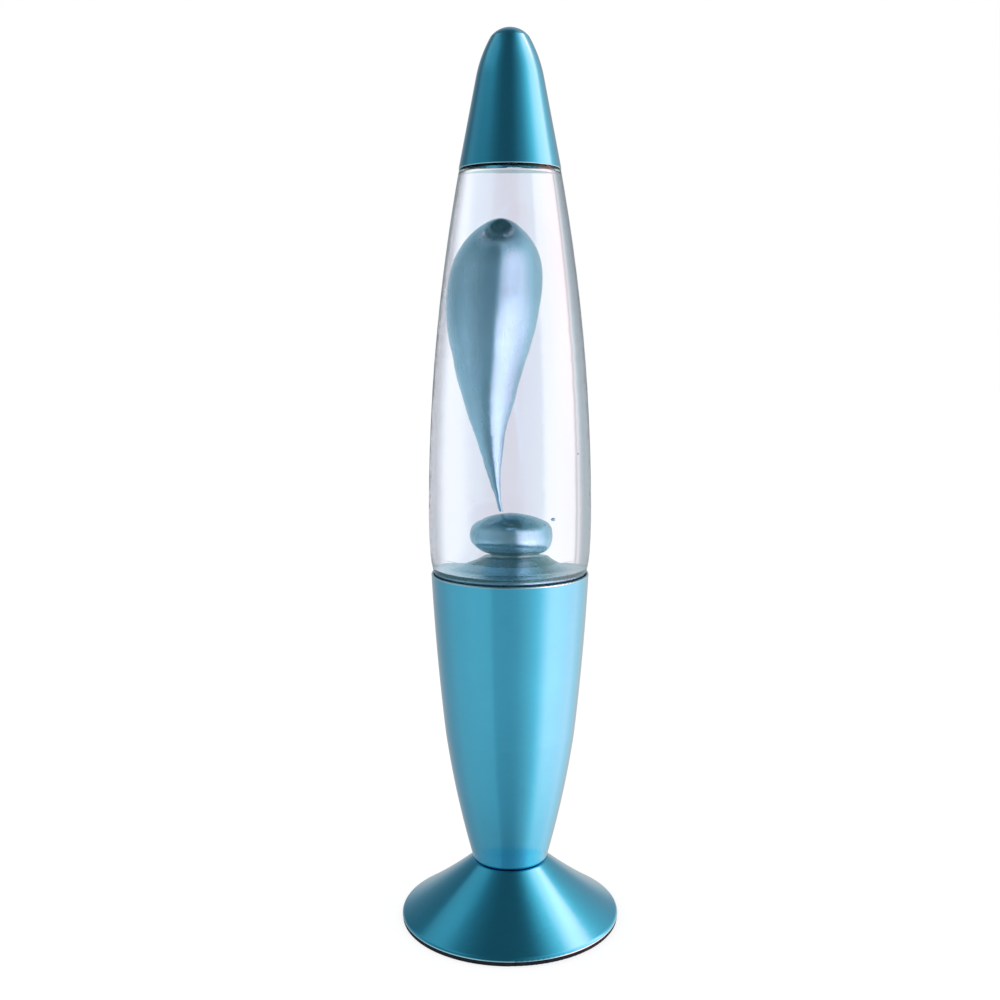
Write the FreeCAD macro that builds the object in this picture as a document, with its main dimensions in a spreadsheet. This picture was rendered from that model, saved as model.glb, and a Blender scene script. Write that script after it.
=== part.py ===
import FreeCAD, Part
import math
import os
import re

import Sketcher

# Lava lamp. Millimetres, +Z up, origin on the table under the lamp's axis, the back of the lamp towards +Y.
# Driving dimensions of the document's sheet: every alias is a plain word.
SIZES = {
    # spun metal base: a flared foot and a tapered cup, clamped together at the waist
    "metal": 1.0,
    "foot_radius": 51.1,
    "foot_edge": 2.2,
    "foot_edge_round": 2.0,
    "foot_top": 28.5,
    "foot_top_radius": 16.9,
    "foot_top_round": 1.6,
    "foot_flare": 300.0,
    "foot_lean_out": 0.61,
    "foot_lean_up": 0.79,
    "cup_floor_radius": 15.4,
    "cup_floor_round": 2.4,
    "cup_lean_out": 0.968,
    "cup_lean_down": 0.25,
    "cup_belly": 90.0,
    "cup_belly_radius": 30.0,
    "cup_lower_sweep": 475.0,
    "cup_upper_sweep": 1170.0,
    "cup_rim": 165.7,
    "cup_rim_radius": 36.1,
    # rubber foot ring and the cover under the foot
    "ring_radius": 50.9,
    "ring_round": 0.6,
    "ring_inner_radius": 46.8,
    "ring_lip_radius": 47.6,
    "ring_lip_top": 4.2,
    "cover_radius": 46.6,
    "cover_bottom": 2.2,
    "cover_thickness": 1.6,
    "cover_slots": 12,
    "cover_slot_radius": 24.0,
    "cover_slot_length": 9.0,
    "cover_slot_width": 2.4,
    "cover_screws": 3,
    "screw_circle": 38.4,
    "screw_head_radius": 2.9,
    "screw_head_height": 1.3,
    "screw_radius": 1.3,
    "screw_top": 8.2,
    "bracket_inner_radius": 36.0,
    "bracket_outer_radius": 45.9,
    "bracket_bottom": 5.4,
    "bracket_top": 11.4,
    "bracket_top_radius": 37.4,
    "bracket_sheet": 1.2,
    "bracket_sweep": 16.0,
    # cord inlet through the back of the foot
    "inlet_height": 12.0,
    "inlet_radius_out": 38.8,
    "inlet_hole_radius": 5.0,
    "inlet_flange_radius": 6.6,
    "inlet_flange": 1.5,
    "inlet_gap": 0.3,
    "inlet_neck": 2.2,
    "inlet_bore_radius": 3.2,
    # hollow threaded rod that clamps foot, cup and lamp holder
    "nipple_radius": 5.0,
    "nipple_bore_radius": 3.9,
    "nipple_bottom": 20.6,
    "nipple_top": 34.6,
    "nipple_hole_radius": 5.1,
    "nut_corner_radius": 8.1,
    "nut_height": 3.0,
    "washer_radius": 8.8,
    "washer_thickness": 0.6,
    "washer_teeth": 14,
    "tag_radius": 8.2,
    "tag_thickness": 0.6,
    "tag_length": 14.5,
    "tag_width": 5.0,
    # lamp holder
    "holder_radius": 13.5,
    "holder_wall": 1.3,
    "holder_floor": 1.6,
    "holder_round": 2.0,
    "holder_joint": 40.0,
    "holder_seat": 1.6,
    "holder_top": 60.0,
    "holder_bore_radius": 8.2,
    "holder_rib_height": 1.6,
    "plunger_hole_radius": 1.4,
    "shell_radius": 7.8,
    "shell_sheet": 0.3,
    "shell_bottom": 43.1,
    "thread_half_pitch": 1.41,
    "thread_round": 1.2,
    "plunger_radius": 2.6,
    "plunger_top": 44.7,
    "plunger_thickness": 0.7,
    "plunger_stem_radius": 1.0,
    "plunger_stem_bottom": 40.3,
    "spring_radius": 1.8,
    "spring_wire_radius": 0.2,
    "clamp_offset": 8.4,
    "clamp_width": 4.0,
    "clamp_depth": 7.0,
    "clamp_height": 5.0,
    # terminal block and the leads inside the foot
    "block_width": 24.0,
    "block_depth": 11.0,
    "block_height": 8.6,
    "block_front": 18.5,
    "block_bottom": 4.2,
    "block_pitch": 7.6,
    "block_screw_radius": 1.8,
    "lead_radius": 1.1,
    # reflector bulb
    "bulb_bottom": 45.0,
    "tip_radius": 2.4,
    "tip_height": 1.2,
    "bulb_glass": 0.8,
    "insulator_top": 48.8,
    "insulator_radius": 6.3,
    "bulb_shell_radius": 6.65,
    "bulb_shell_sheet": 0.25,
    "neck_bottom": 60.5,
    "neck_radius": 6.9,
    "bulb_neck_radius": 9.6,
    "bulb_neck_low": 64.0,
    "bulb_neck_top": 70.0,
    "bulb_radius": 19.5,
    "bulb_bowl_sweep": 42.0,
    "bulb_shoulder": 93.0,
    "bulb_top": 112.0,
    "mirror_sheet": 0.2,
    "stem_radius": 5.4,
    "stem_neck_radius": 2.3,
    "stem_top": 76.0,
    "filament_radius": 6.5,
    "filament_height": 88.0,
    "filament_wire_radius": 0.2,
    "support_wire_radius": 0.35,
    # glass bottle, its liquid and its closure
    "glass": 2.2,
    "bottle_bottom": 122.0,
    "bottle_push_up": 2.4,
    "bottle_foot_radius": 23.5,
    "bottle_heel_round": 7.2,
    "bottle_heel_radius": 30.2,
    "bottle_heel": 128.6,
    "bottle_seat_radius": 34.85,
    "bottle_tuck_radius": 36.5,
    "bottle_tuck": 175.0,
    "bottle_tuck_sweep": 42.0,
    "bottle_hip_sweep": 205.0,
    "bottle_belly_radius": 37.05,
    "bottle_belly": 190.0,
    "bottle_sweep": 844.0,
    "ledge": 345.5,
    "ledge_radius": 22.5,
    "shoulder_radius": 20.8,
    "shoulder_round": 13.5,
    "neck_base": 358.0,
    "neck_outer_radius": 12.7,
    "neck_bead_radius": 13.2,
    "neck_bead_round": 1.9,
    "neck_bore": 8.2,
    "mouth": 376.0,
    "liquid_gap": 0.05,
    "liquid_level": 344.0,
    "meniscus": 0.8,
    "liner_thickness": 1.1,
    "liner_radius": 12.4,
    "closure_sheet": 0.35,
    "closure_radius": 14.4,
    "closure_top_radius": 12.6,
    "closure_skirt": 371.6,
    "closure_flutes": 21,
    "closure_flute_radius": 0.75,
    # wax
    "pool_bottom": 127.6,
    "pool_step": 134.0,
    "pool_step_radius": 20.6,
    "pool_level": 168.9,
    "mound_radius": 18.5,
    "mound_sweep": 30.0,
    "waist_radius": 8.4,
    "waist_height": 175.7,
    "button_radius": 14.0,
    "button_height": 184.6,
    "button_low_round": 7.5,
    "button_shoulder_radius": 10.5,
    "button_shoulder": 191.0,
    "button_shoulder_round": 7.5,
    "button_top": 194.6,
    "drop_tip": 195.2,
    "drop_top": 323.2,
    "drop_fullness": 25.9,
    "drop_taper": 2.35,
    "drop_point": 0.32,
    "drop_thread": 0.7,
    "drop_lean": 3.0,
    "drop_sway": 4.1,
    "drop_gap": 0.3,
    "bead_radius": 0.8,
    "small_bead_radius": 0.5,
    "coil_radius": 23.8,
    "coil_wire_radius": 0.7,
    "coil_bottom": 127.6,
    "coil_height": 4.8,
    # cap
    "cap_bottom": 345.8,
    "cap_rim_radius": 22.6,
    "cap_rim_round": 0.5,
    "cap_shoulder": 385.0,
    "cap_shoulder_radius": 14.9,
    "cap_shoulder_sweep": 54.6,
    "cap_crown": 402.0,
    "cap_crown_radius": 8.45,
    "cap_top": 406.0,
}

DROP_SECTIONS = 20
THREAD_WAVES = 10
BULB_WAVES = 8
COIL_RUNS = 12

doc = FreeCAD.newDocument("lava_lamp")


def make_sheet():
    sheet = doc.addObject("Spreadsheet::Sheet", "Sizes")
    for row, (alias, size) in enumerate(SIZES.items(), start=1):
        sheet.set("A%d" % row, alias)
        sheet.set("B%d" % row, str(size))
        sheet.setAlias("B%d" % row, alias)
    doc.recompute()
    return sheet


SHEET = make_sheet()


def bound(text):
    """The text with each of the sheet's words written as the document reads it."""
    return re.sub(r"[a-z][a-z_]*", lambda word: "Sizes." + word[0] if word[0] in SIZES else word[0], str(text))


def number(text):
    return float(SHEET.evalExpression(bound(text)))


def bind(thing, **sizes):
    """Binds properties to expressions; a double underscore in a name stands for a dot."""
    for name, text in sizes.items():
        thing.setExpression(name.replace("__", "."), bound(text))
    return thing


def place(thing, x=0, y=0, z=0):
    """Binds the place of a primitive to expressions."""
    return bind(thing, Placement__Base__x=x, Placement__Base__y=y, Placement__Base__z=z)


def new_body(name):
    body = doc.addObject("PartDesign::Body", name)
    body.Label = name
    body.AllowCompound = True
    return body


def origin_part(body, role):
    return next(item for item in body.Origin.OriginFeatures if item.Role == role)


def new_sketch(body, name, plane):
    sketch = body.newObject("Sketcher::SketchObject", name)
    sketch.AttachmentSupport = [(origin_part(body, plane), "")]
    sketch.MapMode = "FlatFace"
    return sketch


def sketch_point(rules, texts, piece, end, x, y):
    """Pins one end of a sketch piece at x, y from the sketch's origin."""
    for text, kind, axis in ((x, "DistanceX", -2), (y, "DistanceY", -1)):
        if number(text) == 0:
            rules.append(Sketcher.Constraint("PointOnObject", piece, end, axis))
            texts.append(None)
        else:
            rules.append(Sketcher.Constraint(kind, -1, 1, piece, end, number(text)))
            texts.append(text)


def add_rules(sketch, rules, texts):
    sketch.addConstraint(rules)
    for index, text in enumerate(texts):
        if text is not None:
            sketch.setExpression("Constraints[%d]" % index, bound(text))


def arc_between(start, end, radius, turn):
    """The short arc from start to end; turn is 1 where it turns left on the way, -1 where right."""
    half = (end - start) / 2
    left = FreeCAD.Vector(-half.y, half.x, 0).normalize()
    reach = math.sqrt(radius**2 - half.Length**2)
    circle = Part.Circle(start + half + left * turn * reach, FreeCAD.Vector(0, 0, 1), radius)
    ends = (start, end) if turn > 0 else (end, start)
    return Part.ArcOfCircle(circle, circle.parameter(ends[0]), circle.parameter(ends[1]))


def dome(radius, rise):
    """The radius of a round dome of a given rise whose centre is on the lamp's axis."""
    return "((%s)^2 + (%s)^2) / (2 * (%s))" % (radius, rise, rise)


def outline(body, name, corners, plane="XZ_Plane"):
    """A closed sketch round corners: (x, y) ends a straight line, (x, y, radius, turn) ends an arc."""
    sketch = new_sketch(body, name, plane)
    places = [FreeCAD.Vector(number(corner[0]), number(corner[1]), 0) for corner in corners]
    rules = []
    texts = []
    ends = []
    for index, corner in enumerate(corners):
        start = places[index - 1]
        end = places[index]
        if len(corner) == 2:
            sketch.addGeometry(Part.LineSegment(start, end))
            ends.append((1, 2))
        else:
            sketch.addGeometry(arc_between(start, end, number(corner[2]), corner[3]))
            ends.append((1, 2) if corner[3] > 0 else (2, 1))
            rules.append(Sketcher.Constraint("Radius", index, number(corner[2])))
            texts.append(corner[2])
        sketch_point(rules, texts, index, ends[index][1], corner[0], corner[1])
    for index in range(len(corners)):
        rules.append(Sketcher.Constraint("Coincident", index - 1 if index else len(corners) - 1,
                                         ends[index - 1][1], index, ends[index][0]))
        texts.append(None)
    add_rules(sketch, rules, texts)
    return sketch


def circles(body, name, rings, plane="XY_Plane", level=0):
    """A sketch of circles (x, y, radius) at a level along the plane's normal."""
    sketch = new_sketch(body, name, plane)
    rules = []
    texts = []
    for index, (x, y, radius) in enumerate(rings):
        centre = FreeCAD.Vector(number(x), number(y), 0)
        sketch.addGeometry(Part.Circle(centre, FreeCAD.Vector(0, 0, 1), number(radius)))
        rules.append(Sketcher.Constraint("Radius", index, number(radius)))
        texts.append(radius)
        sketch_point(rules, texts, index, 3, x, y)
    add_rules(sketch, rules, texts)
    return bind(sketch, AttachmentOffset__Base__z=level)


def revolve(body, sketch, angle=360):
    spin = body.newObject("PartDesign::Revolution", sketch.Name + "_spin")
    spin.Profile = sketch
    spin.ReferenceAxis = (sketch, ["V_Axis"])
    spin.Angle = 360
    if angle != 360:
        bind(spin, Angle=angle)
        spin.Midplane = True
    body.Tip = spin
    return spin


def turned(name, corners):
    """A sub-part turned about the lamp's axis from its half outline."""
    body = new_body(name)
    revolve(body, outline(body, name + "_outline", corners))
    return body


def pad(body, sketch, length):
    block = body.newObject("PartDesign::Pad", sketch.Name + "_pad")
    block.Profile = sketch
    bind(block, Length=length)
    body.Tip = block
    return block


def cut_through(body, sketch, length):
    """A pocket that runs from the sketch up into the solid."""
    doc.recompute()
    before = body.Shape.Volume
    pocket = body.newObject("PartDesign::Pocket", sketch.Name + "_pocket")
    pocket.Profile = sketch
    pocket.Reversed = True
    bind(pocket, Length=length)
    body.Tip = pocket
    doc.recompute()
    assert body.Shape.Volume < before, body.Label + ": a pocket cuts nothing"
    return pocket


def repeat(body, features, count):
    """Repeats features evenly round the lamp's axis."""
    doc.recompute()
    pattern = body.newObject("PartDesign::PolarPattern", features[-1].Name + "_ring")
    pattern.Originals = features
    pattern.Axis = (origin_part(body, "Z_Axis"), [""])
    pattern.Angle = 360
    bind(pattern, Occurrences=count)
    body.Tip = pattern
    return pattern


def primitive(kind, name, **sizes):
    """A Part primitive with its sizes bound to the sheet."""
    return bind(doc.addObject("Part::" + kind, name), **sizes)


def cut(name, base, tool):
    result = doc.addObject("Part::Cut", name)
    result.Base = base
    result.Tool = tool
    return result


def group(name, solids):
    """Separate solids that share one node."""
    result = doc.addObject("Part::Compound", name)
    result.Links = solids
    return result


# base


def inlet_placement():
    """Where the cord inlet stands on the sloping back of the foot, its axis square to the slope."""
    lean = math.degrees(math.atan2(number("foot_lean_out"), number("foot_lean_up")))
    spot = FreeCAD.Vector(0, number("inlet_radius_out"), number("inlet_height"))
    return FreeCAD.Placement(spot, FreeCAD.Rotation(FreeCAD.Vector(1, 0, 0), -lean))


def base_foot():
    shell = turned("foot_shell", [
        ("foot_radius - metal", "foot_edge"),
        ("foot_radius", "foot_edge"),
        ("foot_radius - foot_edge_round * (1 - foot_lean_out)", "foot_edge + foot_edge_round * foot_lean_up",
         "foot_edge_round", 1),
        ("foot_top_radius + foot_top_round * foot_lean_out", "foot_top - foot_top_round * (1 - foot_lean_up)",
         "foot_flare", -1),
        ("foot_top_radius", "foot_top", "foot_top_round", 1),
        ("nipple_hole_radius", "foot_top"),
        ("nipple_hole_radius", "foot_top - metal"),
        ("foot_top_radius - metal * 0.3", "foot_top - metal"),
        ("foot_top_radius + (foot_top_round - metal) * foot_lean_out",
         "foot_top - foot_top_round + (foot_top_round - metal) * foot_lean_up"),
        ("foot_radius - foot_edge_round + (foot_edge_round - metal) * foot_lean_out",
         "foot_edge + (foot_edge_round - metal) * foot_lean_up", "foot_flare + metal", 1),
    ])
    drill = primitive("Cylinder", "inlet_drill", Radius="inlet_hole_radius", Height="8 * metal")
    drill.Placement = inlet_placement().multiply(FreeCAD.Placement(FreeCAD.Vector(0, 0, -4), FreeCAD.Rotation()))
    return cut("base_foot", shell, drill)


def base_cup():
    return turned("base_cup", [
        ("nipple_hole_radius", "foot_top"),
        ("cup_floor_radius", "foot_top"),
        ("cup_floor_radius + cup_floor_round * cup_lean_out",
         "foot_top + cup_floor_round * (1 - cup_lean_down)", "cup_floor_round", 1),
        ("cup_belly_radius", "cup_belly", "cup_lower_sweep", 1),
        ("cup_rim_radius", "cup_rim - metal / 2", "cup_upper_sweep", 1),
        ("cup_rim_radius - metal / 2", "cup_rim", "metal / 2", 1),
        ("cup_rim_radius - metal", "cup_rim - metal / 2", "metal / 2", 1),
        ("cup_belly_radius - metal", "cup_belly", "cup_upper_sweep", -1),
        ("cup_floor_radius + (cup_floor_round - metal) * cup_lean_out",
         "foot_top + metal + (cup_floor_round - metal) * (1 - cup_lean_down)", "cup_lower_sweep", -1),
        ("cup_floor_radius", "foot_top + metal", "cup_floor_round - metal", -1),
        ("nipple_hole_radius", "foot_top + metal"),
    ])


def foot_ring():
    return turned("foot_ring", [
        ("ring_inner_radius", "0"),
        ("ring_radius - ring_round", "0"),
        ("ring_radius", "ring_round", "ring_round", 1),
        ("ring_radius", "foot_edge"),
        ("ring_lip_radius + metal", "foot_edge"),
        ("ring_lip_radius", "ring_lip_top"),
        ("ring_inner_radius", "ring_lip_top"),
    ])


def bottom_cover():
    body = new_body("bottom_cover")
    pad(body, circles(body, "cover_disc", [("0", "0", "cover_radius")], level="cover_bottom"), "cover_thickness")
    slot = outline(body, "cover_slot", [
        ("cover_slot_radius + cover_slot_length", "-cover_slot_width / 2"),
        ("cover_slot_radius + cover_slot_length + cover_slot_width / 2", "0", "cover_slot_width / 2", 1),
        ("cover_slot_radius + cover_slot_length", "cover_slot_width / 2", "cover_slot_width / 2", 1),
        ("cover_slot_radius", "cover_slot_width / 2"),
        ("cover_slot_radius - cover_slot_width / 2", "0", "cover_slot_width / 2", 1),
        ("cover_slot_radius", "-cover_slot_width / 2", "cover_slot_width / 2", 1),
    ], "XY_Plane")
    repeat(body, [cut_through(body, slot, "foot_top")], "cover_slots")
    hole = circles(body, "cover_screw_hole", [("screw_circle", "0", "screw_radius * 1.2")])
    repeat(body, [cut_through(body, hole, "foot_top")], "cover_screws")
    return body


def cover_brackets():
    """Angle tabs spot-welded inside the foot, one over each cover screw."""
    body = new_body("cover_brackets")
    tab = revolve(body, outline(body, "bracket_outline", [
        ("bracket_inner_radius", "bracket_bottom"),
        ("bracket_outer_radius", "bracket_bottom"),
        ("bracket_top_radius", "bracket_top"),
        ("bracket_top_radius - 1.6 * bracket_sheet", "bracket_top"),
        ("bracket_outer_radius - 3 * bracket_sheet", "bracket_bottom + bracket_sheet"),
        ("bracket_inner_radius", "bracket_bottom + bracket_sheet"),
    ]), "bracket_sweep")
    hole = circles(body, "bracket_hole", [("screw_circle", "0", "screw_radius * 1.05")])
    repeat(body, [tab, cut_through(body, hole, "bracket_bottom + 2 * bracket_sheet")], "cover_screws")
    return body


def cover_screws():
    body = new_body("cover_screws")
    head = pad(body, circles(body, "screw_head", [("screw_circle", "0", "screw_head_radius")],
                             level="cover_bottom - screw_head_height"), "screw_head_height")
    shank = pad(body, circles(body, "screw_shank", [("screw_circle", "0", "screw_radius")],
                              level="cover_bottom"), "screw_top - cover_bottom")
    repeat(body, [head, shank], "cover_screws")
    return body


def cord_grommet():
    grommet = turned("cord_grommet", [
        ("inlet_bore_radius", "-inlet_neck - inlet_flange"),
        ("inlet_flange_radius - inlet_gap", "-inlet_neck - inlet_flange"),
        ("inlet_flange_radius - inlet_gap", "-inlet_neck"),
        ("inlet_hole_radius - inlet_gap / 3", "-inlet_neck"),
        ("inlet_hole_radius - inlet_gap / 3", "inlet_gap"),
        ("inlet_flange_radius", "inlet_gap"),
        ("inlet_flange_radius - inlet_flange", "inlet_gap + inlet_flange", "inlet_flange", 1),
        ("inlet_bore_radius", "inlet_gap + inlet_flange"),
    ])
    grommet.Placement = inlet_placement()
    return grommet


def nipple():
    return turned("nipple", [
        ("nipple_bore_radius", "nipple_bottom"),
        ("nipple_radius - 0.4 * metal", "nipple_bottom"),
        ("nipple_radius", "nipple_bottom + 0.4 * metal"),
        ("nipple_radius", "nipple_top - 0.4 * metal"),
        ("nipple_radius - 0.4 * metal", "nipple_top"),
        ("nipple_bore_radius", "nipple_top"),
    ])


def drilled(name, blank, height, bottom, radius="nipple_hole_radius"):
    """A blank with a round hole down the lamp's axis."""
    drill = place(primitive("Cylinder", name + "_drill", Radius=radius, Height=height), z=bottom)
    return cut(name, blank, drill)


def nipple_nut():
    bottom = "foot_top - metal - washer_thickness - tag_thickness - nut_height"
    hexagon = primitive("Prism", "nut_blank", Circumradius="nut_corner_radius", Height="nut_height")
    return drilled("nipple_nut", place(hexagon, z=bottom), "nut_height", bottom)


def earth_tag():
    bottom = "foot_top - metal - washer_thickness - tag_thickness"
    ring = place(primitive("Cylinder", "tag_ring", Radius="tag_radius", Height="tag_thickness"), z=bottom)
    tab = primitive("Box", "tag_tab", Length="tag_width", Width="tag_length", Height="tag_thickness")
    place(tab, x="-tag_width / 2", z=bottom)
    blank = doc.addObject("Part::Fuse", "tag_blank")
    blank.Base = ring
    blank.Tool = tab
    return drilled("earth_tag", blank, "tag_thickness", bottom)


def lock_washer():
    body = new_body("lock_washer")
    level = "foot_top - metal - washer_thickness"
    rings = [("0", "0", "washer_radius"), ("0", "0", "nipple_hole_radius")]
    pad(body, circles(body, "washer_rings", rings, level=level), "washer_thickness")
    notch = circles(body, "washer_notch", [("washer_radius", "0", "washer_thickness")])
    repeat(body, [cut_through(body, notch, "foot_top")], "washer_teeth")
    return body


def holder_base():
    bottom = "foot_top + metal"
    return turned("holder_base", [
        ("nipple_hole_radius", bottom),
        ("holder_radius - holder_round", bottom),
        ("holder_radius", bottom + " + holder_round", "holder_round", 1),
        ("holder_radius", "holder_joint"),
        ("holder_radius - holder_wall", "holder_joint"),
        ("holder_radius - holder_wall", bottom + " + holder_floor"),
        ("nipple_hole_radius", bottom + " + holder_floor"),
    ])


def holder_body():
    rib = "holder_rib_height"
    corners = [
        ("plunger_hole_radius", "holder_joint"),
        ("holder_radius", "holder_joint"),
        ("holder_radius", "holder_top - 8 * " + rib),
    ]
    for step in range(4):
        low = "holder_top - %d * %s" % (8 - 2 * step, rib)
        middle = "holder_top - %d * %s" % (7 - 2 * step, rib)
        corners.append(("holder_radius - %s / 2" % rib, low))
        corners.append(("holder_radius - %s / 2" % rib, middle))
        corners.append(("holder_radius", middle))
        if step < 3:
            corners.append(("holder_radius", "holder_top - %d * %s" % (6 - 2 * step, rib)))
    corners += [
        ("holder_radius", "holder_top"),
        ("holder_bore_radius", "holder_top"),
        ("holder_bore_radius", "holder_joint + holder_seat"),
        ("plunger_hole_radius", "holder_joint + holder_seat"),
    ]
    return turned("holder_body", corners)


def thread_tube(name, radius, sheet, bottom, waves):
    """A thin screw shell: half-pitch waves up the outside and down the inside."""
    corners = [("%s - %s" % (radius, sheet), bottom), (radius, bottom)]
    for step in range(1, waves + 1):
        corners.append((radius, "%s + %d * thread_half_pitch" % (bottom, step), "thread_round", (-1)**step))
    corners.append(("%s - %s" % (radius, sheet), "%s + %d * thread_half_pitch" % (bottom, waves)))
    for step in range(waves - 1, -1, -1):
        corners.append(("%s - %s" % (radius, sheet), "%s + %d * thread_half_pitch" % (bottom, step),
                        "thread_round", (-1)**step))
    return turned(name, corners[1:])


def holder_shell():
    return thread_tube("holder_shell", "shell_radius", "shell_sheet", "shell_bottom", THREAD_WAVES)


def holder_contact():
    return turned("holder_contact", [
        ("0", "plunger_stem_bottom"),
        ("plunger_stem_radius", "plunger_stem_bottom"),
        ("plunger_stem_radius", "plunger_top - plunger_thickness"),
        ("plunger_radius", "plunger_top - plunger_thickness"),
        ("plunger_radius", "plunger_top - plunger_thickness / 2"),
        ("plunger_radius - plunger_thickness / 2", "plunger_top", "plunger_thickness / 2", 1),
        ("0", "plunger_top"),
    ])


def rounded_path(points):
    """Straight runs joined by tangent arcs, each arc as large as its two runs allow."""
    edges = []
    start = points[0]
    for before, corner, after in zip(points, points[1:], points[2:]):
        inward = (before - corner).normalize()
        outward = (after - corner).normalize()
        reach = 0.45 * min((before - corner).Length, (after - corner).Length)
        half_turn = (math.pi - inward.getAngle(outward)) / 2
        radius = reach / math.tan(half_turn)
        middle = corner + (inward + outward).normalize() * radius * (1 / math.cos(half_turn) - 1)
        edges.append(Part.LineSegment(start, corner + inward * reach).toShape())
        edges.append(Part.Arc(corner + inward * reach, middle, corner + outward * reach).toShape())
        start = corner + outward * reach
    edges.append(Part.LineSegment(start, points[-1]).toShape())
    return Part.Wire(edges)


def tube(name, points, radius):
    """A solid round wire along a rounded path."""
    path = rounded_path(points)
    ring = Part.Circle(points[0], points[1] - points[0], radius)
    wire = doc.addObject("Part::Feature", name)
    wire.Shape = path.makePipeShell([Part.Wire([ring.toShape()])], True, False)
    assert abs(wire.Shape.Volume / (math.pi * radius**2 * path.Length) - 1) < 0.05, name
    return wire


def wound(name, coil_radius, wire_radius, bottom, rise, turns):
    """A coil of wire about the lamp's axis, from the lowest wire's middle up by rise."""
    points = []
    for step in range(turns * COIL_RUNS + 1):
        angle = 2 * math.pi * step / COIL_RUNS
        height = number(bottom) + number(rise) * step / (turns * COIL_RUNS)
        radius = number(coil_radius)
        points.append(FreeCAD.Vector(radius * math.cos(angle), radius * math.sin(angle), height))
    return tube(name, points, number(wire_radius))


def contact_spring():
    floor = "holder_joint + holder_seat + 1.3 * spring_wire_radius"
    rise = "plunger_top - plunger_thickness - holder_joint - holder_seat - 2.6 * spring_wire_radius"
    return wound("contact_spring", "spring_radius", "spring_wire_radius", floor, rise, 2)


def pair(name, kind, x, y, z, **sizes):
    """Two equal primitives, one each side of the lamp's YZ plane."""
    solids = []
    for side, centre in (("left", "-(%s)" % x), ("right", x)):
        solid = primitive(kind, name + "_" + side, **sizes)
        width = sizes.get("Length")
        solids.append(place(solid, x="%s - (%s) / 2" % (centre, width) if width else centre, y=y, z=z))
    return group(name, solids)


def holder_clamps():
    return pair("holder_clamps", "Box", "clamp_offset", "-clamp_depth / 2", "holder_joint - clamp_height",
                Length="clamp_width", Width="clamp_depth", Height="clamp_height")


def holder_clamp_screws():
    screws = pair("holder_clamp_screws", "Cylinder", "clamp_offset", "-clamp_depth / 2",
                  "holder_joint - clamp_height / 2", Radius="clamp_width * 0.4", Height="lead_radius")
    for screw in screws.Links:
        screw.Placement.Rotation = FreeCAD.Rotation(FreeCAD.Vector(1, 0, 0), 90)
    return screws


def terminal_block():
    body = new_body("terminal_block")
    half = "block_width / 2"
    back = "block_front + block_depth"
    blank = outline(body, "block_outline", [
        (half, "block_front"),
        (half, back),
        ("-" + half, back),
        ("-" + half, "block_front"),
    ], "XY_Plane")
    bind(blank, AttachmentOffset__Base__z="block_bottom")
    pad(body, blank, "block_height")
    for index in (-1, 0, 1):
        well = circles(body, "screw_well_%d" % (index + 2),
                       [("%d * block_pitch" % index, "block_front + block_depth / 2", "block_screw_radius * 1.2")],
                       level="block_bottom + block_height / 2")
        cut_through(body, well, "block_height")
    return body


def terminal_screws():
    solids = []
    for index in (-1, 0, 1):
        screw = primitive("Cylinder", "terminal_screw_%d" % (index + 2), Radius="block_screw_radius",
                          Height="block_height / 4")
        solids.append(place(screw, x="%d * block_pitch" % index, y="block_front + block_depth / 2",
                            z="block_bottom + block_height / 2"))
    return group("terminal_screws", solids)


def lead(name, route):
    """One insulated lead: a round tube along its route."""
    points = [FreeCAD.Vector(*(number(size) for size in point)) for point in route]
    return tube(name, points, number("lead_radius"))


def mains_lead(name, side):
    """From the terminal block up through the hollow rod to a clamp of the lamp holder."""
    level = "block_bottom + block_height * 0.4"
    return lead(name, [
        ("%d * block_pitch" % side, "block_front", level),
        ("%d * block_pitch" % side, "block_front / 2.2", level),
        ("%d * lead_radius * 1.4" % side, "0", "nipple_bottom - 2.5 * lead_radius"),
        ("%d * lead_radius * 1.4" % side, "0", "nipple_top + 2.5 * lead_radius"),
        ("%d * (clamp_offset - clamp_width / 2)" % side, "0", "nipple_top + 2.5 * lead_radius"),
    ])


def live_lead():
    return mains_lead("live_lead", -1)


def neutral_lead():
    return mains_lead("neutral_lead", 1)


def earth_lead():
    tag_bottom = "foot_top - metal - washer_thickness - tag_thickness"
    return lead("earth_lead", [
        ("0", "block_front", "block_bottom + block_height * 0.4"),
        ("0", "tag_length - 2 * lead_radius", "block_bottom + block_height * 0.4"),
        ("0", "tag_length - 2 * lead_radius", tag_bottom),
    ])


# bulb


def bulb_tip():
    return turned("bulb_tip", [
        ("0", "bulb_bottom"),
        ("tip_radius", "bulb_bottom + tip_height / 2", dome("tip_radius", "tip_height / 2"), 1),
        ("tip_radius", "bulb_bottom + tip_height"),
        ("0", "bulb_bottom + tip_height"),
    ])


def bulb_insulator():
    return turned("bulb_insulator", [
        ("0", "bulb_bottom + tip_height"),
        ("tip_radius + bulb_shell_sheet", "bulb_bottom + tip_height"),
        ("insulator_radius", "insulator_top"),
        ("0", "insulator_top"),
    ])


def bulb_shell():
    return thread_tube("bulb_shell", "bulb_shell_radius", "bulb_shell_sheet", "insulator_top", BULB_WAVES)


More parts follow.
